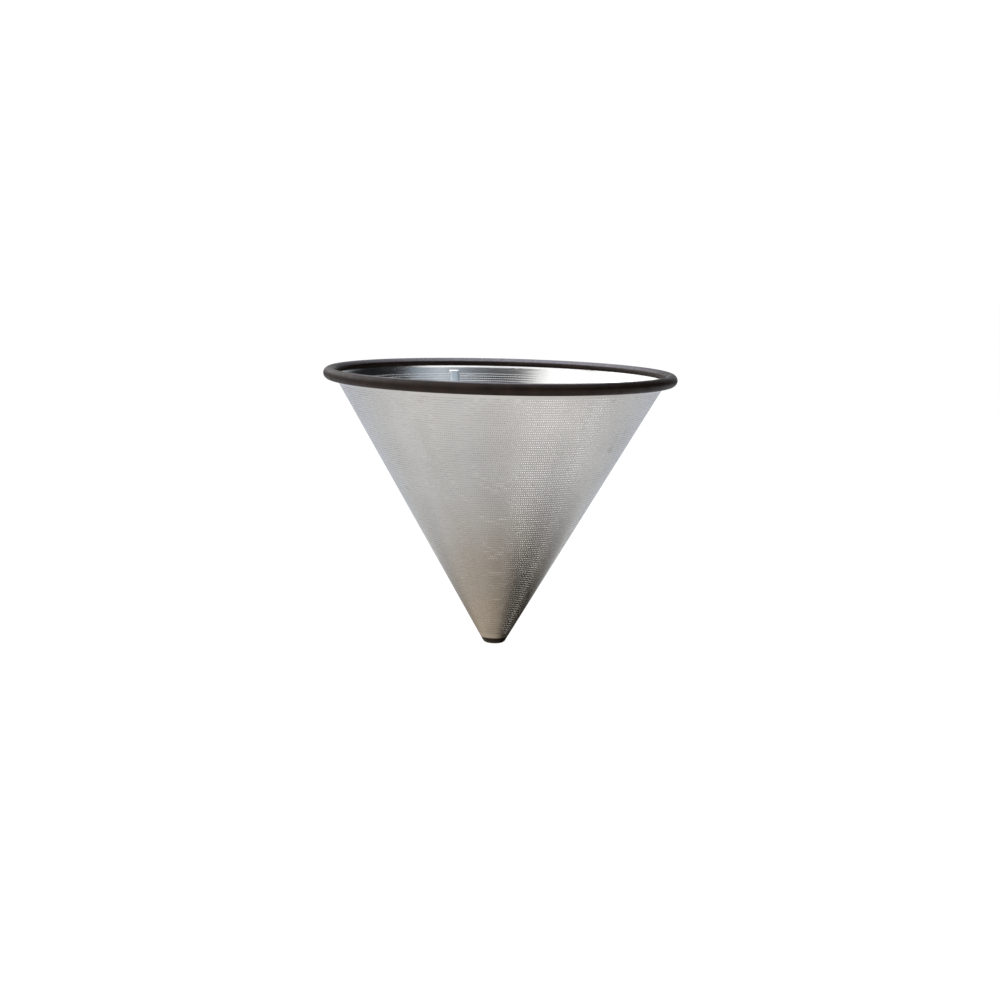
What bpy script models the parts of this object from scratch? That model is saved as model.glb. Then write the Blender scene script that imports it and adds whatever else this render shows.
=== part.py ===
"""Reusable cone coffee filter: an etched steel cone with a soft rim bead and a soft tip plug.

Metres, +Z up. The origin is the centre of the flat tip face, and the cone opens upwards.
Every turned piece shares one axis and one number of facets, so the fits between them are even.
"""

import math

import bmesh
import bpy
from mathutils import Vector

# Overall size
OVERALL_HEIGHT = 0.0980
RIM_DIAMETER = 0.1250
TIP_DIAMETER = 0.0068          # middle of the sheet, carried down to the tip face

# Filter cone: one rolled and welded sheet
SHEET = 0.0002
BEND_REACH = 0.0026            # along the flange, from beside the bead's middle to the bend
FLANGE_LENGTH = 0.0024         # the turned-out edge that the bead holds
FLANGE_ANGLE = math.radians(50)    # above the horizontal
FLANGE_OFFSET = 0.0009         # from the middle of the bead's section to the flange's line
BEND_RADIUS = 0.0015

# Rim bead: a soft ring with a slot for the flange
BEAD_SECTION = 0.0042

# Tip plug: a soft stopper that snaps over the sheet's lower edge
LIP_HEIGHT = 0.0022            # the part outside the cone
STOPPER_HEIGHT = 0.0022        # the part inside the cone
TIP_ROUNDING = 0.0018
STOPPER_ROUNDING = 0.0004

# Seam strip: a backing strip welded over the sheet's butt joint
STRIP_WIDTH = 0.0038
STRIP_THICKNESS = 0.0002
STRIP_BEARING = math.radians(108)
STRIP_BELOW_BEND = 0.0010
STRIP_ABOVE_PLUG = 0.0015

# Fits
FIT_GAP = 0.0001               # between the sheet and each piece that grips it
WELD_GAP = 0.0001              # between the sheet and the strip

# Facets
TURNS = 96
BEAD_POINTS = 25
ARC_POINTS = 5
STRIP_ROWS = 12
STRIP_COLUMNS = 4
MERGE = 0.00001

# Worked out from the sizes above
BEAD_RADIUS = BEAD_SECTION / 2
BEAD_CENTRE = Vector((RIM_DIAMETER / 2 - BEAD_RADIUS, OVERALL_HEIGHT - BEAD_RADIUS))
FLANGE_RUN = Vector((math.cos(FLANGE_ANGLE), math.sin(FLANGE_ANGLE)))
FLANGE_ACROSS = Vector((-FLANGE_RUN.y, FLANGE_RUN.x))
BEND = BEAD_CENTRE - FLANGE_RUN * BEND_REACH + FLANGE_ACROSS * FLANGE_OFFSET
HALF_ANGLE = math.atan((BEND.x - TIP_DIAMETER / 2) / BEND.y)
SHEET_ACROSS = SHEET / math.cos(HALF_ANGLE)    # the sheet's width on a level line
STOPPER_TOP = LIP_HEIGHT + STOPPER_HEIGHT


def cone_radius(height, outward=0.0):
    """Radius of the middle of the sheet, or of a surface a level distance outside it."""
    return TIP_DIAMETER / 2 + height * math.tan(HALF_ANGLE) + outward


def rounded_corner(before, corner, after, radius):
    """Points of an arc that rounds a corner of a profile, in the profile's order."""
    leaving = (before - corner).normalized()
    arriving = (after - corner).normalized()
    half = leaving.angle(arriving) / 2
    centre = corner + (leaving + arriving).normalized() * (radius / math.sin(half))
    start = corner + leaving * (radius / math.tan(half)) - centre
    end = corner + arriving * (radius / math.tan(half)) - centre
    sweep = start.angle_signed(end)
    points = []
    for step in range(ARC_POINTS):
        turn = -sweep * step / (ARC_POINTS - 1)
        points.append(centre + Vector((start.x * math.cos(turn) - start.y * math.sin(turn),
                                       start.x * math.sin(turn) + start.y * math.cos(turn))))
    return points


def plain_material(name, colour, roughness, metallic):
    material = bpy.data.materials.new(name)
    material.use_nodes = True
    shader = material.node_tree.nodes["Principled BSDF"]
    shader.inputs["Base Color"].default_value = (*colour, 1.0)
    shader.inputs["Roughness"].default_value = roughness
    shader.inputs["Metallic"].default_value = metallic
    material.diffuse_color = (*colour, 1.0)
    return material


def add_object(name, mesh, material, collection):
    mesh.materials.append(material)
    piece = bpy.data.objects.new(name, mesh)
    collection.objects.link(piece)
    return piece


def turned_piece(name, profile, closed, material, collection):
    """Turn a profile of (radius, height) points, given down its outer side, about the Z axis."""
    mesh = bpy.data.meshes.new(name)
    edges = [(i, i + 1) for i in range(len(profile) - 1)]
    if closed:
        edges.append((len(profile) - 1, 0))
    mesh.from_pydata([(point.x, 0.0, point.y) for point in profile], edges, [])
    piece = add_object(name, mesh, material, collection)
    screw = piece.modifiers.new("turn", "SCREW")
    screw.axis = "Z"
    screw.angle = math.tau
    screw.steps = TURNS
    screw.render_steps = TURNS
    screw.use_merge_vertices = True
    screw.merge_threshold = MERGE
    screw.use_normal_calculate = True
    screw.use_smooth_shade = True
    return piece


def make_filter_cone(material, collection):
    """The sheet, from its turned-out flange down to the open tip."""
    flange_end = BEND + FLANGE_RUN * FLANGE_LENGTH
    edge_height = LIP_HEIGHT + FIT_GAP + SHEET / 2 * math.sin(HALF_ANGLE)
    lower_edge = Vector((cone_radius(edge_height), edge_height))
    bend = rounded_corner(flange_end, BEND, lower_edge, BEND_RADIUS)
    cone = turned_piece("filter_cone", [flange_end, *bend, lower_edge], False, material, collection)
    skin = cone.modifiers.new("sheet", "SOLIDIFY")
    skin.thickness = SHEET
    skin.offset = 0.0
    skin.use_even_offset = True
    return cone


def make_rim_bead(material, collection):
    """A round ring, slotted from its inner lower side towards its middle."""
    near_wall = FLANGE_OFFSET + SHEET / 2 + FIT_GAP
    far_wall = FLANGE_OFFSET - SHEET / 2 - FIT_GAP
    slot_end = BEAD_CENTRE - FLANGE_RUN * (BEND_REACH - FLANGE_LENGTH - FIT_GAP)
    mouth = math.asin(near_wall / BEAD_RADIUS) - math.asin(far_wall / BEAD_RADIUS)
    first = math.pi + FLANGE_ANGLE - math.asin(near_wall / BEAD_RADIUS)
    sweep = math.tau - mouth
    profile = []
    for step in range(BEAD_POINTS):
        angle = first - sweep * step / (BEAD_POINTS - 1)
        profile.append(BEAD_CENTRE + Vector((math.cos(angle), math.sin(angle))) * BEAD_RADIUS)
    profile.append(slot_end + FLANGE_ACROSS * far_wall)
    profile.append(slot_end + FLANGE_ACROSS * near_wall)
    return turned_piece("rim_bead", profile, True, material, collection)


def make_tip_plug(material, collection):
    """A stopper in line with the cone outside, a lip under the sheet's edge and a seat inside."""
    outside = SHEET_ACROSS / 2
    inside = -SHEET_ACROSS / 2 - FIT_GAP / math.cos(HALF_ANGLE)
    top_centre = Vector((0.0, STOPPER_TOP))
    top_edge = Vector((cone_radius(STOPPER_TOP, inside), STOPPER_TOP))
    groove = Vector((cone_radius(LIP_HEIGHT, inside), LIP_HEIGHT))
    lip_edge = Vector((cone_radius(LIP_HEIGHT, outside), LIP_HEIGHT))
    tip_corner = Vector((cone_radius(0.0, outside), 0.0))
    tip_centre = Vector((0.0, 0.0))
    profile = [top_centre]
    profile += rounded_corner(top_centre, top_edge, groove, STOPPER_ROUNDING)
    profile += [groove, lip_edge]
    profile += rounded_corner(lip_edge, tip_corner, tip_centre, TIP_ROUNDING)
    profile.append(tip_centre)
    return turned_piece("tip_plug", profile, False, material, collection)


def make_seam_strip(material, collection):
    """A narrow strip of even width, bent to lie along the inside of the cone."""
    top = BEND.y - STRIP_BELOW_BEND
    bottom = STOPPER_TOP + STRIP_ABOVE_PLUG
    level_gap = (SHEET / 2 + WELD_GAP) / math.cos(HALF_ANGLE)
    builder = bmesh.new()
    bmesh.ops.create_grid(builder, x_segments=STRIP_COLUMNS, y_segments=STRIP_ROWS, size=0.5)
    for corner in builder.verts:
        height = bottom + (corner.co.y + 0.5) * (top - bottom)
        radius = cone_radius(height, -level_gap)
        bearing = STRIP_BEARING + corner.co.x * STRIP_WIDTH / radius
        corner.co = (radius * math.cos(bearing), radius * math.sin(bearing), height)
    mesh = bpy.data.meshes.new("seam_strip")
    builder.to_mesh(mesh)
    builder.free()
    strip = add_object("seam_strip", mesh, material, collection)
    skin = strip.modifiers.new("thickness", "SOLIDIFY")
    skin.thickness = STRIP_THICKNESS
    skin.offset = -1.0
    return strip


def main():
    for old in list(bpy.data.objects):
        bpy.data.objects.remove(old, do_unlink=True)
    collection = bpy.data.collections.new("cone_coffee_filter")
    bpy.context.scene.collection.children.link(collection)
    steel = plain_material("etched_steel", (0.62, 0.61, 0.60), 0.32, 1.0)
    strip_steel = plain_material("strip_steel", (0.66, 0.66, 0.67), 0.28, 1.0)
    bead_rubber = plain_material("bead_rubber", (0.055, 0.036, 0.030), 0.42, 0.0)
    plug_rubber = plain_material("plug_rubber", (0.030, 0.022, 0.020), 0.40, 0.0)
    make_filter_cone(steel, collection)
    make_seam_strip(strip_steel, collection)
    make_rim_bead(bead_rubber, collection)
    make_tip_plug(plug_rubber, collection)


main()
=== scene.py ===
import math

import bpy
import numpy as np
from mathutils import Euler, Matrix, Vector


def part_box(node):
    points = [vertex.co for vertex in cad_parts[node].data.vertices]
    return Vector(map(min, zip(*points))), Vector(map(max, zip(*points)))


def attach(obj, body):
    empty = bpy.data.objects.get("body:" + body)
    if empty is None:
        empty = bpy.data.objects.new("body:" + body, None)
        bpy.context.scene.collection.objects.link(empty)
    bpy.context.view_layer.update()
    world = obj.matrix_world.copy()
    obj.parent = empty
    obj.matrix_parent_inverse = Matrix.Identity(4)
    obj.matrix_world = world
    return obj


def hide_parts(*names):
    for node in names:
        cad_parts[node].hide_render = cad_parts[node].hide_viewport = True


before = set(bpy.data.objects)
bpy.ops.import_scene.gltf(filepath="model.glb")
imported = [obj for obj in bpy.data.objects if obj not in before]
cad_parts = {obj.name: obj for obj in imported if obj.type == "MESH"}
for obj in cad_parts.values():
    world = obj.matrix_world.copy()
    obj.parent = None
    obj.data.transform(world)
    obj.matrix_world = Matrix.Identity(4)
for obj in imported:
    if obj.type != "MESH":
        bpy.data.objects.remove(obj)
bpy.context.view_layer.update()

print("frame loaded:", sorted(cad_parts))

# Lines that every piece of the filter is worked out from, in metres and radians
rimLow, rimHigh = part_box("rim_bead")
shape = {
    "sheet": 0.0002,            # thickness of the steel
    "tipRadius": 0.0034,        # middle of the sheet, carried down to the tip face
    "bendReach": 0.0026,        # from the middle of the bead's section to the bend
    "flangeLength": 0.0024,     # turned-out edge inside the bead
    "flangeAngle": math.radians(50),
    "flangeOffset": 0.0009,     # from the middle of the bead's section to the flange's line
    "bendRadius": 0.0015,
    "lipHeight": 0.0022,        # part of the plug outside the cone
    "stopperHeight": 0.0022,    # part of the plug inside the cone
    "seamBearing": math.radians(108),
}
beadRadius = (rimHigh[2] - rimLow[2]) / 2
beadCentre = Vector((rimHigh[0] - beadRadius, rimHigh[2] - beadRadius))
flangeRun = Vector((math.cos(shape["flangeAngle"]), math.sin(shape["flangeAngle"])))
flangeAcross = Vector((-flangeRun.y, flangeRun.x))
bendSpot = beadCentre - flangeRun * shape["bendReach"] + flangeAcross * shape["flangeOffset"]
halfAngle = math.atan((bendSpot.x - shape["tipRadius"]) / bendSpot.y)
sinHalf, cosHalf = math.sin(halfAngle), math.cos(halfAngle)
apexHeight = -shape["tipRadius"] / math.tan(halfAngle)


def slantAt(height):
    return (height - apexHeight) / cosHalf


def onCone(bearing, slant, lift):
    # lift is how far a surface stands outside the middle of the sheet
    radius = slant * sinHalf + lift * cosHalf
    height = apexHeight + slant * cosHalf - lift * sinHalf
    return np.stack([radius * np.cos(bearing), radius * np.sin(bearing), height], -1)


def roundedCorner(before, corner, after, radius, steps):
    leaving, arriving = (before - corner).normalized(), (after - corner).normalized()
    half = leaving.angle(arriving) / 2
    centre = corner + (leaving + arriving).normalized() * (radius / math.sin(half))
    start = corner + leaving * (radius / math.tan(half)) - centre
    end = corner + arriving * (radius / math.tan(half)) - centre
    sweep = -start.angle_signed(end)
    spots = []
    for step in range(steps):
        turn = sweep * step / (steps - 1)
        spots.append(centre + Vector((start.x * math.cos(turn) - start.y * math.sin(turn),
                                      start.x * math.sin(turn) + start.y * math.cos(turn))))
    return spots


def makeMesh(name, spots, quads, tris, sharpAngle=35):
    quads = np.asarray(quads, dtype=np.int32).reshape(-1, 4)
    tris = np.asarray(tris, dtype=np.int32).reshape(-1, 3)
    mesh = bpy.data.meshes.new(name)
    mesh.vertices.add(len(spots))
    mesh.vertices.foreach_set("co", np.asarray(spots, dtype=np.float32).ravel())
    corners = np.concatenate([quads.ravel(), tris.ravel()])
    starts = np.concatenate([np.arange(len(quads)) * 4, len(quads) * 4 + np.arange(len(tris)) * 3])
    mesh.loops.add(len(corners))
    mesh.loops.foreach_set("vertex_index", corners)
    mesh.polygons.add(len(starts))
    mesh.polygons.foreach_set("loop_start", starts.astype(np.int32))
    mesh.update(calc_edges=True)
    mesh.validate()
    mesh.shade_smooth()
    mesh.set_sharp_from_angle(angle=math.radians(sharpAngle))
    piece = bpy.data.objects.new(name, mesh)
    bpy.context.scene.collection.objects.link(piece)
    return piece


def finishPiece(piece, material, node):
    piece.data.materials.clear()
    piece.data.materials.append(material)
    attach(piece, "root")
    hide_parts(node)


def startMaterial(name):
    material = bpy.data.materials.new(name)
    material.use_nodes = True
    tree = material.node_tree
    return material, tree, tree.nodes["Principled BSDF"]


def splitVector(tree, vector):
    node = tree.nodes.new("ShaderNodeSeparateXYZ")
    tree.links.new(vector, node.inputs["Vector"])
    return node.outputs


def noiseNode(tree, scale, detail, stretch=(1, 1, 1)):
    place = tree.nodes.new("ShaderNodeTexCoord")
    mapping = tree.nodes.new("ShaderNodeMapping")
    mapping.inputs["Scale"].default_value = stretch
    noise = tree.nodes.new("ShaderNodeTexNoise")
    noise.inputs["Scale"].default_value = scale
    noise.inputs["Detail"].default_value = detail
    tree.links.new(place.outputs["Object"], mapping.inputs["Vector"])
    tree.links.new(mapping.outputs["Vector"], noise.inputs["Vector"])
    return noise.outputs["Fac"]


def spread(tree, value, low, high, fromLow=0.3, fromHigh=0.7):
    # the noise itself mostly stays between 0.3 and 0.7
    node = tree.nodes.new("ShaderNodeMapRange")
    node.inputs["From Min"].default_value = fromLow
    node.inputs["From Max"].default_value = fromHigh
    node.inputs["To Min"].default_value = low
    node.inputs["To Max"].default_value = high
    tree.links.new(value, node.inputs["Value"])
    return node.outputs["Result"]


def blendColours(tree, share, first, second):
    node = tree.nodes.new("ShaderNodeMix")
    node.data_type = "RGBA"
    for socket, colour in ((node.inputs[6], first), (node.inputs[7], second)):
        if isinstance(colour, tuple):
            socket.default_value = (*colour, 1)
        else:
            tree.links.new(colour, socket)
    tree.links.new(share, node.inputs[0])
    return node.outputs[2]


def blendValues(tree, share, first, second):
    node = tree.nodes.new("ShaderNodeMix")
    tree.links.new(share, node.inputs[0])
    tree.links.new(first, node.inputs[2])
    tree.links.new(second, node.inputs[3])
    return node.outputs[0]


def addBump(tree, shader, value, depth, strength):
    bump = tree.nodes.new("ShaderNodeBump")
    bump.inputs["Distance"].default_value = depth
    bump.inputs["Strength"].default_value = strength
    tree.links.new(value, bump.inputs["Height"])
    tree.links.new(bump.outputs["Normal"], shader.inputs["Normal"])


steelLook = {
    "clean": (0.665, 0.66, 0.655),      # fresh satin sheet
    "worn": (0.60, 0.595, 0.59),        # faint cloudy patches
    "paintedTipShade": (0.61, 0.58, 0.54),       # painted shade: a warmer, darker colour towards the tip, standing in for the shaded floor that the steel mirrors there
    "tipShadeFrom": 0.058,                # height where the painted tip shade starts
    "tipShadeTo": 0.014,
    "stain": (0.42, 0.385, 0.35),       # dried drops
    "stainShare": 0.55,
    "stainFrom": 0.66,                  # only the tops of the noise become drops
    "stainTo": 0.76,
    "stainStretch": (1, 1, 0.7),        # drops run a little down the wall
    "cloudScale": 55,
    "stainScale": 130,
    "streakScale": 60,
    "roughLow": 0.20,
    "roughHigh": 0.29,
    "streaks": 26,                      # how much finer the polishing lines are up the wall than round it
}


def etchedSteel():
    material, tree, shader = startMaterial("etchedSteel")
    cloud = spread(tree, noiseNode(tree, steelLook["cloudScale"], 3), 0, 1)
    base = blendColours(tree, cloud, steelLook["clean"], steelLook["worn"])
    spot = splitVector(tree, tree.nodes.new("ShaderNodeTexCoord").outputs["Object"])
    # painted shade: the sheet turns warmer and darker towards the tip
    tipShadeShare = spread(tree, spot["Z"], 1, 0, steelLook["tipShadeTo"], steelLook["tipShadeFrom"])
    tipShaded = blendColours(tree, tipShadeShare, base, steelLook["paintedTipShade"])
    drops = spread(tree, noiseNode(tree, steelLook["stainScale"], 5, steelLook["stainStretch"]),
                   0, steelLook["stainShare"], steelLook["stainFrom"], steelLook["stainTo"])
    tree.links.new(blendColours(tree, drops, tipShaded, steelLook["stain"]), shader.inputs["Base Color"])
    streaks = noiseNode(tree, steelLook["streakScale"], 4, (1, 1, steelLook["streaks"]))
    rough = spread(tree, streaks, steelLook["roughLow"], steelLook["roughHigh"])
    tree.links.new(rough, shader.inputs["Roughness"])
    shader.inputs["Metallic"].default_value = 1
    return material


stripLook = {"bright": (0.84, 0.84, 0.85), "dull": (0.76, 0.76, 0.76), "roughLow": 0.12, "roughHigh": 0.20,
             "cloudScale": 300, "grainScale": 900}


def stripSteel():
    material, tree, shader = startMaterial("stripSteel")
    cloud = spread(tree, noiseNode(tree, stripLook["cloudScale"], 3), 0, 1)
    tree.links.new(blendColours(tree, cloud, stripLook["bright"], stripLook["dull"]),
                   shader.inputs["Base Color"])
    grain = noiseNode(tree, stripLook["grainScale"], 2)
    rough = spread(tree, grain, stripLook["roughLow"], stripLook["roughHigh"])
    tree.links.new(rough, shader.inputs["Roughness"])
    shader.inputs["Metallic"].default_value = 1
    return material


beadLook = {
    "dark": (0.0110, 0.0052, 0.0032),
    "light": (0.024, 0.0125, 0.0078),
    "roughLow": 0.40,
    "roughHigh": 0.54,
    "shine": 0.20,
    "highlightAndDust": (0.46, 0.44, 0.50),        # painted highlight with some pale dust where the bead faces up
    "highlightAndDustBack": 0.85,                  # share of it at the back of the rim
    "highlightAndDustFront": 0.60,
    "highlightAndDustElsewhere": 0.02,
    "upright": (0.40, 0.58),            # how far the bead has to face up, at the back
    "level": (0.80, 0.96),              # and along the front
    "backFrom": 0.005,                  # places from the middle of the filter to its back
    "backTo": 0.058,
    "frontFrom": -0.060,
    "frontTo": -0.030,
    "highlightAndDustScale": 1400,
    "highlightAndDustThin": 0.55,
}
plugLook = {
    "dark": (0.008, 0.005, 0.004),
    "light": (0.020, 0.012, 0.009),
    "roughLow": 0.32,
    "roughHigh": 0.45,
    "shine": 0.35,
}
rubberGrain = {"cloudScale": 160, "roughScale": 500, "bumpScale": 2600, "bumpDepth": 0.00002,
               "bumpStrength": 0.35}


def mathNode(tree, operation, *values):
    node = tree.nodes.new("ShaderNodeMath")
    node.operation = operation
    for socket, value in zip(node.inputs, values):
        if isinstance(value, (int, float)):
            socket.default_value = value
        else:
            tree.links.new(value, socket)
    return node.outputs[0]


def highlightAndDustShare(tree, look):
    # painted highlight with some dust: strongest where the bead faces up at the back of the rim, with a thin
    # line along the front
    place = tree.nodes.new("ShaderNodeTexCoord")
    facing = splitVector(tree, place.outputs["Normal"])
    spot = splitVector(tree, place.outputs["Object"])
    up = spread(tree, facing["Z"], 0, 1, *look["upright"])
    back = spread(tree, spot["Y"], look["highlightAndDustElsewhere"], look["highlightAndDustBack"],
                  look["backFrom"], look["backTo"])
    level = spread(tree, facing["Z"], 0, look["highlightAndDustFront"], *look["level"])
    nearness = spread(tree, spot["Y"], 1, 0, look["frontFrom"], look["frontTo"])
    front = mathNode(tree, "MULTIPLY", level, nearness)
    share = mathNode(tree, "MAXIMUM", mathNode(tree, "MULTIPLY", up, back), front)
    patchy = spread(tree, noiseNode(tree, look["highlightAndDustScale"], 4), look["highlightAndDustThin"], 1.0)
    return mathNode(tree, "MULTIPLY", share, patchy)


def softRubber(name, look):
    material, tree, shader = startMaterial(name)
    cloud = spread(tree, noiseNode(tree, rubberGrain["cloudScale"], 4), 0, 1)
    colour = blendColours(tree, cloud, look["dark"], look["light"])
    if "highlightAndDust" in look:
        # mixes in the painted highlight with some dust
        colour = blendColours(tree, highlightAndDustShare(tree, look), colour, look["highlightAndDust"])
    tree.links.new(colour, shader.inputs["Base Color"])
    grain = noiseNode(tree, rubberGrain["roughScale"], 3)
    rough = spread(tree, grain, look["roughLow"], look["roughHigh"])
    tree.links.new(rough, shader.inputs["Roughness"])
    shader.inputs["Specular IOR Level"].default_value = look["shine"]
    addBump(tree, shader, noiseNode(tree, rubberGrain["bumpScale"], 3), rubberGrain["bumpDepth"],
            rubberGrain["bumpStrength"])
    return material


steel, strip = etchedSteel(), stripSteel()
beadRubber, plugRubber = softRubber("beadRubber", beadLook), softRubber("plugRubber", plugLook)
print("materials ready")

holes = {
    "topHeight": 0.0922,        # first row under the rim
    "changeHeight": 0.0345,     # finer rows below this
    "endHeight": 0.0041,        # last row above the plug
    "rowPitch": 0.00096,
    "fineRowPitch": 0.00088,
    "columnPitch": 0.00071,
    "fineColumnPitch": 0.00066,
    "radius": 0.00018,
    "fineRadius": 0.00017,
    "cellReach": 0.00026,       # half the height of the strip that a row is cut in
    "plainBySeam": 0.0019,      # unpunched steel each side of the joint
    "weldHeight": 0.00005,
    "shift": 0.000006,          # usual distance that a hole stands off its row or column
    "sizeSpread": 0.03,
    "facesPerBand": 170000,
    "facesPerHole": 50,
    "seed": 11,
}
edges = {"bendSteps": 7, "wallBelow": 0.003, "aboveLip": 0.00004}    # top and bottom of the sheet
seamSteps = np.array([0, 0.12, 0.5, 0.75])    # spots between the joint and the first hole, as shares
chance = np.random.default_rng(holes["seed"])


def ringBearings(slant, columns):
    seam = holes["plainBySeam"] / (slant * sinHalf)
    held = seam + np.arange(columns + 1) * (math.tau - 2 * seam) / columns
    return np.concatenate([seam * seamSteps, held, math.tau - seam * seamSteps[:0:-1]])


class SheetBand:
    # one closed length of the cone, made of rings of spots on its two faces
    def __init__(self):
        self.spots, self.quads, self.tris, self.count = [], [], [], 0

    def add(self, spots):
        first = self.count
        self.spots.append(spots.reshape(-1, 3))
        self.count += len(self.spots[-1])
        return first

    def ring(self, bearings, outer, inner):
        # outer and inner are (radius, height) on each face
        turned = bearings + shape["seamBearing"]
        weld = np.where(np.arange(len(bearings)) == 0, holes["weldHeight"], 0.0)    # stands out at the joint
        faces = []
        for (radius, height), extra in ((outer, weld), (inner, 0.0)):
            spots = np.stack([(radius + extra) * np.cos(turned), (radius + extra) * np.sin(turned),
                              np.full_like(turned, height)], -1)
            faces.append(self.add(spots) + np.arange(len(bearings)))
        return {"bearings": bearings, "outer": faces[0], "inner": faces[1], "at": (outer, inner)}

    def coneRing(self, bearings, slant):
        half = shape["sheet"] / 2
        outer = (slant * sinHalf + half * cosHalf, apexHeight + slant * cosHalf - half * sinHalf)
        inner = (slant * sinHalf - half * cosHalf, apexHeight + slant * cosHalf + half * sinHalf)
        return self.ring(bearings, outer, inner)

    def wrap(self, upper, lower, picked):
        # plain faces between two rings with the same bearings
        after = (picked + 1) % len(upper["bearings"])
        for side, order in (("outer", 1), ("inner", -1)):
            up, low = upper[side], lower[side]
            self.quads.append(np.stack([low[picked], low[after], up[after], up[picked]], -1)[:, ::order])

    def join(self, upper, lower):
        # faces between two rings that have different numbers of spots
        above = np.append(upper["bearings"], math.tau)
        below = np.append(lower["bearings"], math.tau)
        top, base, found = 0, 0, []
        while top < len(above) - 1 or base < len(below) - 1:
            onTop = base == len(below) - 1 or (top < len(above) - 1 and above[top + 1] < below[base + 1])
            found.append((top, base, onTop))
            top, base = (top + 1, base) if onTop else (top, base + 1)
        found = np.array(found)
        for side, order in (("outer", 1), ("inner", -1)):
            up = np.append(upper[side], upper[side][0])
            low = np.append(lower[side], lower[side][0])
            rows = found[found[:, 2] == 1]
            self.tris.append(np.stack([low[rows[:, 1]], up[rows[:, 0] + 1], up[rows[:, 0]]], -1)[:, ::order])
            rows = found[found[:, 2] == 0]
            self.tris.append(np.stack([low[rows[:, 1]], low[rows[:, 1] + 1], up[rows[:, 0]]], -1)[:, ::order])

    def cap(self, ring, top):
        here = np.arange(len(ring["bearings"]))
        after = (here + 1) % len(here)
        outer, inner = ring["outer"], ring["inner"]
        faces = np.stack([outer[here], outer[after], inner[after], inner[here]], -1)
        self.quads.append(faces if top else faces[:, ::-1])

    def punchedRow(self, upper, lower, slant, columns, radius):
        # each hole is cut in a cell of its own and has eight corners, two for each corner of the cell
        cells = len(seamSteps) + np.arange(columns)
        self.wrap(upper, lower, np.setdiff1d(np.arange(len(upper["bearings"])), cells))
        middle = (upper["bearings"][cells] + upper["bearings"][cells + 1]) / 2 + shape["seamBearing"]
        middle = middle + chance.normal(0, holes["shift"], columns) / (slant * sinHalf)
        size = radius * (1 + chance.normal(0, holes["sizeSpread"], columns))
        turn = math.radians(22.5) + np.arange(8) * math.radians(45)
        bearing = middle[:, None] + size[:, None] * np.cos(turn) / (slant * sinHalf)
        along = slant + chance.normal(0, holes["shift"], columns)[:, None] + size[:, None] * np.sin(turn)
        rims = {}
        for side, order, lift in (("outer", 1, shape["sheet"] / 2), ("inner", -1, -shape["sheet"] / 2)):
            hole = self.add(onCone(bearing, along, lift)) + np.arange(columns * 8).reshape(columns, 8)
            rims[side] = hole
            lowLeft, lowRight = lower[side][cells], lower[side][cells + 1]
            upLeft, upRight = upper[side][cells], upper[side][cells + 1]
            for faces in ((lowRight, upRight, hole[:, 0], hole[:, 7]),
                          (upRight, upLeft, hole[:, 2], hole[:, 1]),
                          (upLeft, lowLeft, hole[:, 4], hole[:, 3]),
                          (lowLeft, lowRight, hole[:, 6], hole[:, 5])):
                self.quads.append(np.stack(faces, -1)[:, ::order])
            for faces in ((upRight, hole[:, 1], hole[:, 0]), (upLeft, hole[:, 3], hole[:, 2]),
                          (lowLeft, hole[:, 5], hole[:, 4]), (lowRight, hole[:, 7], hole[:, 6])):
                self.tris.append(np.stack(faces, -1)[:, ::order])
        for side in range(8):
            after = (side + 1) % 8
            self.quads.append(np.stack([rims["outer"][:, side], rims["outer"][:, after],
                                        rims["inner"][:, after], rims["inner"][:, side]], -1))

    def faceCount(self):
        return sum(2 * len(q) for q in self.quads) + sum(len(t) for t in self.tris)

    def build(self, name):
        return makeMesh(name, np.concatenate(self.spots), np.concatenate(self.quads),
                        np.concatenate(self.tris) if self.tris else [])


def rowPlan():
    rows, height = [], holes["topHeight"]
    while height > holes["endHeight"]:
        fine = height < holes["changeHeight"]
        pitch = holes["fineColumnPitch"] if fine else holes["columnPitch"]
        slant = slantAt(height)
        columns = round((math.tau * slant * sinHalf - 2 * holes["plainBySeam"]) / pitch)
        rows.append({"slant": slant, "columns": columns,
                     "radius": holes["fineRadius"] if fine else holes["radius"]})
        height -= (holes["fineRowPitch"] if fine else holes["rowPitch"]) * cosHalf
    return rows


def turnedEdge(band, bearings):
    # the flange and bend above the first row: profile of the sheet's middle, then its two faces
    flangeEnd = bendSpot + flangeRun * shape["flangeLength"]
    below = bendSpot - Vector((sinHalf, cosHalf)) * edges["wallBelow"]
    middle = [flangeEnd,
              *roundedCorner(flangeEnd, bendSpot, below, shape["bendRadius"], edges["bendSteps"])]
    rings = []
    for step, spot in enumerate(middle):
        ahead = middle[step + 1] if step < len(middle) - 1 else below
        behind = middle[max(step - 1, 0)]
        run = (ahead - behind).normalized()
        out = Vector((-run.y, run.x)) * shape["sheet"] / 2
        out = out if out.x > 0 or out.y < 0 else -out
        rings.append(band.ring(bearings, tuple(spot + out), tuple(spot - out)))
    for upper, lower in zip(rings, rings[1:]):
        band.wrap(upper, lower, np.arange(len(bearings)))
    band.cap(rings[0], True)
    return rings[-1]


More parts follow.
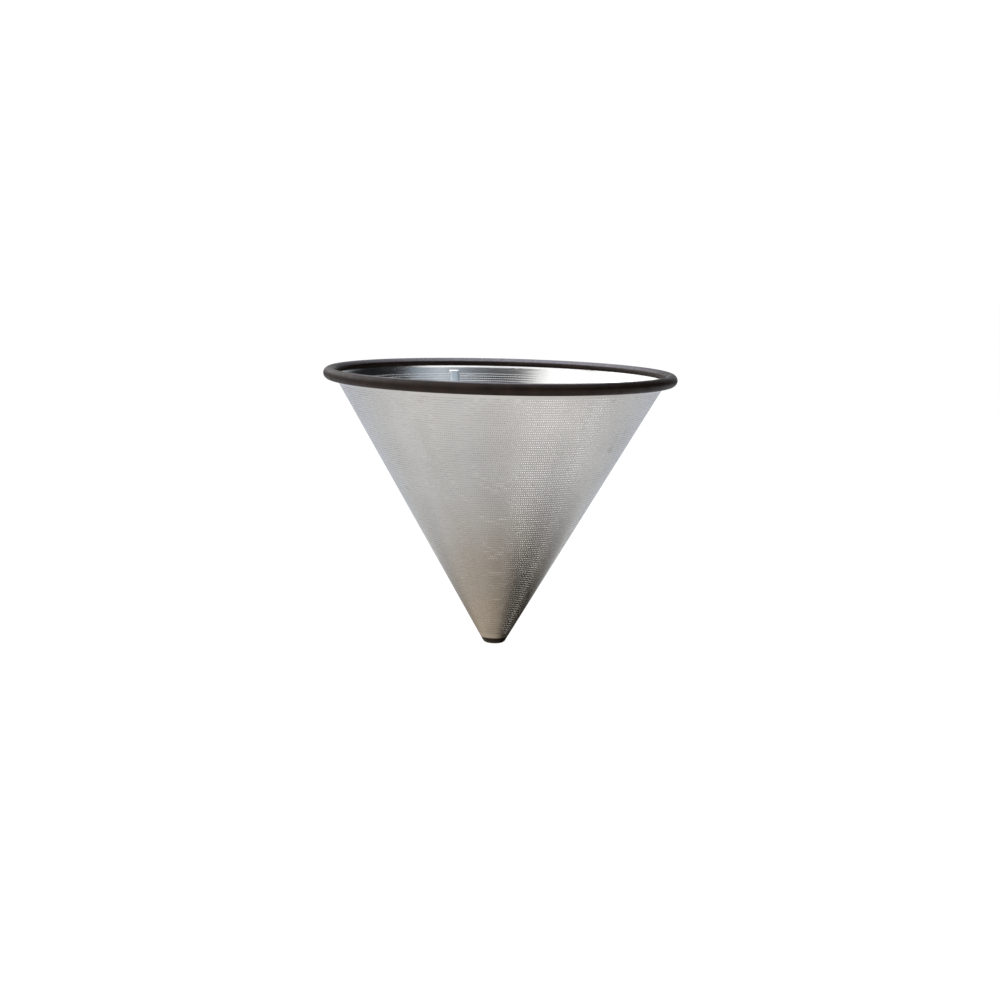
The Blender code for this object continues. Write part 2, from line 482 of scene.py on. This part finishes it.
def punchedCone():
    rows = rowPlan()
    pieces, band = [], SheetBand()
    bearings = ringBearings(rows[0]["slant"], rows[0]["columns"])
    last = turnedEdge(band, bearings)
    for row in rows:
        if band.faceCount() > holes["facesPerBand"] - holes["facesPerHole"] * row["columns"]:
            band.cap(last, False)
            pieces.append(band.build("coneBand%d" % (len(pieces) + 1)))
            held, band = last, SheetBand()
            last = band.ring(held["bearings"], *held["at"])
            band.cap(last, True)
        bearings = ringBearings(row["slant"], row["columns"])
        upper = band.coneRing(bearings, row["slant"] + holes["cellReach"])
        lower = band.coneRing(bearings, row["slant"] - holes["cellReach"])
        if len(last["bearings"]) == len(bearings) and np.allclose(last["bearings"], bearings):
            band.wrap(last, upper, np.arange(len(bearings)))
        else:
            band.join(last, upper)
        band.punchedRow(upper, lower, row["slant"], row["columns"], row["radius"])
        last = lower
    edgeHeight = shape["lipHeight"] + edges["aboveLip"] + shape["sheet"] / 2 * sinHalf
    edge = band.coneRing(last["bearings"], slantAt(edgeHeight))
    band.wrap(last, edge, np.arange(len(last["bearings"])))
    band.cap(edge, False)
    pieces.append(band.build("coneBand%d" % (len(pieces) + 1)))
    for piece in pieces:
        finishPiece(piece, steel, "filter_cone")
    print("punched cone:", len(rows), "rows,", sum(row["columns"] for row in rows), "holes,",
          len(pieces), "bands,", sum(len(piece.data.polygons) for piece in pieces), "faces")


punchedCone()


onAxis = 0.0000001    # a spot nearer to the axis than this is on it


def turnedPiece(name, profile, turns, closed):
    # profile runs down the outer side; spots on the axis become one
    bearings = np.arange(turns) * math.tau / turns
    spots, rings, quads, tris = [], [], [], []
    for spot in profile:
        if spot.x < onAxis:
            rings.append(np.full(turns, len(spots)))
            spots.append((0, 0, spot.y))
            continue
        rings.append(len(spots) + np.arange(turns))
        spots.extend(zip(spot.x * np.cos(bearings), spot.x * np.sin(bearings), np.full(turns, spot.y)))
    pairs = list(zip(rings, rings[1:]))
    if closed:
        pairs.append((rings[-1], rings[0]))
    for upper, lower in pairs:
        nextUp, nextLow = np.roll(upper, -1), np.roll(lower, -1)
        if upper[0] == upper[1]:
            tris.append(np.stack([lower, nextLow, upper], -1))
        elif lower[0] == lower[1]:
            tris.append(np.stack([lower, nextUp, upper], -1))
        else:
            quads.append(np.stack([lower, nextLow, nextUp, upper], -1))
    return makeMesh(name, spots, np.concatenate(quads), np.concatenate(tris) if tris else [])


bead = {"points": 72, "turns": 384, "slotGap": 0.00002, "lipRound": 0.00012,
        "partingHeight": 0.00003, "partingWidth": 0.05}


def rimBead():
    halfSlot = shape["sheet"] / 2 + bead["slotGap"]
    nearWall, farWall = shape["flangeOffset"] + halfSlot, shape["flangeOffset"] - halfSlot
    nearLip = math.asin((nearWall + bead["lipRound"]) / beadRadius)
    farLip = math.asin((farWall - bead["lipRound"]) / beadRadius)
    first = math.pi + shape["flangeAngle"] - nearLip
    sweep = math.tau - nearLip + farLip
    profile = []
    for step in range(bead["points"]):
        angle = first - sweep * step / (bead["points"] - 1)
        ridge = bead["partingHeight"] * math.exp(-(angle / bead["partingWidth"]) ** 2)
        reach = beadRadius - bead["partingHeight"] + ridge
        profile.append(beadCentre + Vector((math.cos(angle), math.sin(angle))) * reach)
    slotEnd = shape["bendReach"] - shape["flangeLength"] - bead["slotGap"]
    for depth, wall in ((beadRadius * math.cos(farLip) - bead["lipRound"], farWall), (slotEnd, farWall),
                        (slotEnd, nearWall), (beadRadius * math.cos(nearLip) - bead["lipRound"], nearWall)):
        profile.append(beadCentre - flangeRun * depth + flangeAcross * wall)
    piece = turnedPiece("rimBead", profile, bead["turns"], True)
    finishPiece(piece, beadRubber, "rim_bead")
    print("rim bead:", len(piece.data.polygons), "faces")


rimBead()

plug = {"turns": 160, "tipRounding": 0.0018, "stopperRounding": 0.0004, "lipRounding": 0.00012,
        "grip": 0.00002, "tipSteps": 14, "stopperSteps": 8, "lipSteps": 5}


def tipPlug():
    level = shape["sheet"] / 2 / cosHalf
    inside = -level - plug["grip"]
    top = shape["lipHeight"] + shape["stopperHeight"]

    def at(height, outward):
        return Vector((shape["tipRadius"] + height * math.tan(halfAngle) + outward, height))

    topCentre, topEdge = Vector((0, top)), at(top, inside)
    groove, lipEdge = at(shape["lipHeight"], inside), at(shape["lipHeight"], level)
    tipCorner, tipCentre = at(0, level), Vector((0, 0))
    profile = [topCentre]
    profile += roundedCorner(topCentre, topEdge, groove, plug["stopperRounding"], plug["stopperSteps"])
    profile.append(groove)
    profile += roundedCorner(groove, lipEdge, tipCorner, plug["lipRounding"], plug["lipSteps"])
    profile += roundedCorner(lipEdge, tipCorner, tipCentre, plug["tipRounding"], plug["tipSteps"])
    profile.append(tipCentre)
    piece = turnedPiece("tipPlug", profile, plug["turns"], False)
    finishPiece(piece, plugRubber, "tip_plug")
    print("tip plug:", len(piece.data.polygons), "faces")


tipPlug()

backing = {"width": 0.0038, "thickness": 0.0002, "belowBend": 0.0010, "abovePlug": 0.0015, "gap": 0.00002,
           "columns": 28, "rows": 300, "lipWidth": 0.00045, "lipHeight": 0.00003, "edgeRound": 0.00007,
           "crowding": 1.6, "lipInset": 1.5}


def seamStrip():
    # a flat strip with a slightly raised lip along each side
    top = bendSpot.y - backing["belowBend"]
    bottom = shape["lipHeight"] + shape["stopperHeight"] + backing["abovePlug"]
    high, low = slantAt(top), slantAt(bottom)
    across = np.linspace(-0.5, 0.5, backing["columns"] + 1)
    # columns crowd towards the sides, where the lip and the rounding are
    across = np.sign(across) * 0.5 * (1 - (1 - 2 * np.abs(across)) ** backing["crowding"])
    along = np.linspace(0, 1, backing["rows"] + 1)
    wide, long = np.meshgrid(across * backing["width"], low + along * (high - low))
    side = backing["width"] / 2 - np.abs(wide)
    edge = np.minimum(side, np.minimum(long - low, high - long))
    fromLip = side - backing["lipInset"] * backing["edgeRound"]
    lip = backing["lipHeight"] * np.exp(-(fromLip / backing["lipWidth"]) ** 2)
    fall = backing["edgeRound"] * (1 - np.clip(edge / backing["edgeRound"] / 2, 0, 1)) ** 2
    bearing = shape["seamBearing"] + wide / (long * sinHalf)
    back = -shape["sheet"] / 2 - backing["gap"]
    under = onCone(bearing, long, back)
    face = onCone(bearing, long, back - backing["thickness"] + fall + backing["lipHeight"] - lip)
    index = np.arange(face.shape[0] * face.shape[1]).reshape(face.shape[:2])
    count = index.size

    def sheetFaces(grid, order):
        faces = np.stack([grid[:-1, :-1], grid[:-1, 1:], grid[1:, 1:], grid[1:, :-1]], -1).reshape(-1, 4)
        return faces[:, ::order]

    outline = np.concatenate([index[0, :-1], index[:-1, -1], index[-1, :0:-1], index[:0:-1, 0]])
    after = np.roll(outline, -1)
    walls = np.stack([outline, outline + count, after + count, after], -1)[:, ::-1]
    quads = np.concatenate([sheetFaces(index, 1), sheetFaces(index + count, -1), walls])
    piece = makeMesh("seamStrip", np.concatenate([under.reshape(-1, 3), face.reshape(-1, 3)]), quads, [])
    finishPiece(piece, strip, "seam_strip")
    print("seam strip:", len(piece.data.polygons), "faces")


seamStrip()

studio = {
    "floorShaded": (1.0, 0.85, 0.66),   # painted warm shade in the floor's glow under the cone
    "floorFront": (0.892, 0.873, 0.840),
    "floorBack": (0.82, 0.857, 0.925),
    "warmFrom": 0.016,          # from the tip out to where the warmth ends
    "warmTo": 0.060,
    "coolFrom": -0.04,          # from the front to where the floor is coolest
    "coolTo": 0.18,
    "shadeFrom": 0.031,
    "shadeTo": 0.100,
    "shadeShift": 0.002,        # the shade reaches further on the dark side
    "shadeDark": 0.06,          # levels under the cone, from the dark side to the lit one
    "shadeMiddle": 0.42,
    "shadeLit": 0.56,
    "litSide": math.radians(65),
    "darkAt": -0.50,            # places between the dark side, -1, and the lit side, 1
    "middleAt": 0.28,
    "litAt": 0.95,
    "bright": 0.845,
    "brightSide": 0.055,
    "frontLight": 0.13,
    "farLevel": 0.4,
    "fadeFrom": 0.45,           # the floor falls dim far away
    "fadeTo": 0.95,
    "floorSeen": 0.93,          # share of plain white that the eye sees in the floor
    "floorWhite": 1.08,
    "floorRough": 0.9,
    "floorShine": 0.2,
    "floorRadius": 4,
    "floorDrop": 0.00005,
    "dim": 0.008,               # light from the dark parts of the room
    "backdrop": 1.1,            # the pale wall behind
    "leftWall": 0.35,
    "wallBack": (0.35, 0.75),   # directions over which the room's walls fade in or out
    "wallTop": (0.25, 0.6),
    "wallLeft": (-0.9, -0.35),
    "wallSides": (0.2, 0.6),
    "roomTint": (0.90, 0.95, 1.0),
    "roomWhite": 1.05,
    "boxAim": 0.06,             # height that the soft boxes point at
    # bearing towards the left, height angle, distance, width, height, brightness, colour
    "boxes": {
        "keyBox": (67, 38, 0.95, 2.40, 0.80, 1.65, (1.0, 0.995, 0.985)),
        "fillBox": (-43, 47, 0.95, 1.16, 0.34, 0.72, (0.74, 0.87, 1.0)),
        "sideBox": (133, 34, 0.95, 0.95, 0.70, 1.5, (1.0, 1.0, 1.0)),
        "topBox": (0, 86, 1.0, 1.3, 0.50, 1.7, (0.97, 0.98, 1.0)),
    },
}


def seenOrMirrored(tree, mirrored, seen, output):
    # the eye gets one of the two, and every mirrored or bounced ray gets the other
    path = tree.nodes.new("ShaderNodeLightPath")
    mix = tree.nodes.new("ShaderNodeMixShader")
    tree.links.new(path.outputs["Is Camera Ray"], mix.inputs["Fac"])
    tree.links.new(mirrored, mix.inputs[1])
    tree.links.new(seen, mix.inputs[2])
    tree.links.new(mix.outputs["Shader"], tree.nodes[output].inputs["Surface"])


def vectorNode(tree, operation, vector):
    node = tree.nodes.new("ShaderNodeVectorMath")
    node.operation = operation
    tree.links.new(vector, node.inputs[0])
    return node


def floorLevel(tree, reach, aside):
    # painted shade and light in the floor's glow: shaded under the cone from the dark side to the lit one,
    # brighter in front and dim far away
    lit = vectorNode(tree, "DOT_PRODUCT", aside)
    lit.inputs[1].default_value = (-math.sin(studio["litSide"]), -math.cos(studio["litSide"]), 0)
    side = lit.outputs["Value"]
    shifted = mathNode(tree, "MULTIPLY_ADD", side, studio["shadeShift"], reach)
    outside = spread(tree, shifted, 0, 1, studio["shadeFrom"], studio["shadeTo"])
    darkHalf = spread(tree, side, studio["shadeDark"], studio["shadeMiddle"],
                      studio["darkAt"], studio["middleAt"])
    litHalf = spread(tree, side, 0, studio["shadeLit"] - studio["shadeMiddle"],
                     studio["middleAt"], studio["litAt"])
    shade = mathNode(tree, "ADD", darkHalf, litHalf)
    front = spread(tree, splitVector(tree, aside)["Y"], studio["frontLight"], 0, -1, 0)
    bright = mathNode(tree, "MULTIPLY_ADD", side, studio["brightSide"], studio["bright"])
    bright = mathNode(tree, "ADD", bright, front)
    fade = spread(tree, reach, 1, studio["farLevel"], studio["fadeFrom"], studio["fadeTo"])
    return blendValues(tree, outside, shade, mathNode(tree, "MULTIPLY", bright, fade))


def floorTint(tree, reach, spot):
    nearTip = spread(tree, reach, 0, 1, studio["warmFrom"], studio["warmTo"])
    warm = blendColours(tree, nearTip, studio["floorShaded"], studio["floorFront"])
    cool = spread(tree, splitVector(tree, spot)["Y"], 0, 1, studio["coolFrom"], studio["coolTo"])
    return blendColours(tree, cool, warm, studio["floorBack"])


def paleFloor():
    # the eye sees a white floor with a trace of real shadow; mirrored and bounced rays see the floor glowing,
    # with painted shade under the cone and painted light on its lit side
    material, tree, shader = startMaterial("paleFloor")
    shader.inputs["Base Color"].default_value = (*studio["floorFront"], 1)
    shader.inputs["Roughness"].default_value = studio["floorRough"]
    shader.inputs["Specular IOR Level"].default_value = studio["floorShine"]
    spot = tree.nodes.new("ShaderNodeTexCoord").outputs["Object"]
    reach = vectorNode(tree, "LENGTH", spot).outputs["Value"]
    aside = vectorNode(tree, "NORMALIZE", spot).outputs["Vector"]
    # painted glow: the floor's light and shade given as emission
    mirrored = tree.nodes.new("ShaderNodeEmission")
    tree.links.new(floorTint(tree, reach, spot), mirrored.inputs["Color"])
    tree.links.new(floorLevel(tree, reach, aside), mirrored.inputs["Strength"])
    white = tree.nodes.new("ShaderNodeEmission")
    white.inputs["Strength"].default_value = studio["floorWhite"]
    seen = tree.nodes.new("ShaderNodeMixShader")
    seen.inputs["Fac"].default_value = studio["floorSeen"]
    tree.links.new(shader.outputs["BSDF"], seen.inputs[1])
    tree.links.new(white.outputs["Emission"], seen.inputs[2])
    seenOrMirrored(tree, mirrored.outputs["Emission"], seen.outputs["Shader"], "Material Output")
    return material


def makeFloor():
    bpy.ops.mesh.primitive_circle_add(vertices=96, radius=studio["floorRadius"], fill_type="NGON",
                                      location=(0, 0, -studio["floorDrop"]))
    floor = bpy.context.object
    floor.name = "floor"
    floor.data.materials.append(paleFloor())


def makeAir():
    # a dim room with a pale wall behind and a paler left side; the eye itself sees plain white
    world = bpy.data.worlds.new("studioAir")
    bpy.context.scene.world = world
    world.use_nodes = True
    tree = world.node_tree
    towards = splitVector(tree, tree.nodes.new("ShaderNodeTexCoord").outputs["Generated"])
    behind = spread(tree, towards["Y"], 0.0, studio["backdrop"], *studio["wallBack"])
    low = spread(tree, towards["Z"], 1.0, 0.0, *studio["wallTop"])
    left = spread(tree, towards["X"], studio["leftWall"], 0.0, *studio["wallLeft"])
    middle = spread(tree, mathNode(tree, "ABSOLUTE", towards["X"]), 1.0, 0.0, *studio["wallSides"])
    wall = mathNode(tree, "MULTIPLY", mathNode(tree, "MULTIPLY", behind, low), middle)
    glow = mathNode(tree, "ADD", wall, left)
    lit = tree.nodes["Background"]
    tree.links.new(mathNode(tree, "ADD", glow, studio["dim"]), lit.inputs["Strength"])
    lit.inputs["Color"].default_value = (*studio["roomTint"], 1)
    seen = tree.nodes.new("ShaderNodeBackground")
    seen.inputs["Color"].default_value = (1, 1, 1, 1)
    seen.inputs["Strength"].default_value = studio["roomWhite"]
    seenOrMirrored(tree, lit.outputs["Background"], seen.outputs["Background"], "World Output")


def makeBox(name, bearing, lift, distance, width, height, brightness, colour):
    lamp = bpy.data.lights.new(name, "AREA")
    lamp.shape = "RECTANGLE"
    lamp.size, lamp.size_y = width, height
    lamp.energy = brightness * math.pi * width * height
    lamp.color = colour
    box = bpy.data.objects.new(name, lamp)
    bpy.context.scene.collection.objects.link(box)
    turn, rise = math.radians(bearing), math.radians(lift)
    aim = Vector((0, 0, studio["boxAim"]))
    away = Vector((-math.sin(turn) * math.cos(rise), -math.cos(turn) * math.cos(rise), math.sin(rise)))
    box.location = aim + away * distance
    box.rotation_euler = away.to_track_quat("Z", "Y").to_euler()
    box.visible_camera = False


makeFloor()
makeAir()
for boxName, boxPlace in studio["boxes"].items():
    makeBox(boxName, *boxPlace)

view = {"distance": 0.750, "aboveRim": 0.0555, "lens": 76.45, "sensor": 36, "roll": 1.4,
        "aim": (0.00092, 0.0, 0.0515)}


def makeCamera():
    data = bpy.data.cameras.new("camera")
    data.lens = view["lens"]
    data.sensor_width = view["sensor"]
    data.clip_start = 0.01
    camera = bpy.data.objects.new("camera", data)
    bpy.context.scene.collection.objects.link(camera)
    aim = Vector(view["aim"])
    camera.location = Vector((0, -view["distance"], beadCentre.y + view["aboveRim"]))
    look = (aim - camera.location).to_track_quat("-Z", "Y")
    camera.rotation_euler = (look @ Euler((0, 0, math.radians(view["roll"]))).to_quaternion()).to_euler()
    bpy.context.scene.camera = camera


makeCamera()
bpy.context.scene.view_settings.view_transform = "Standard"
print("studio ready")
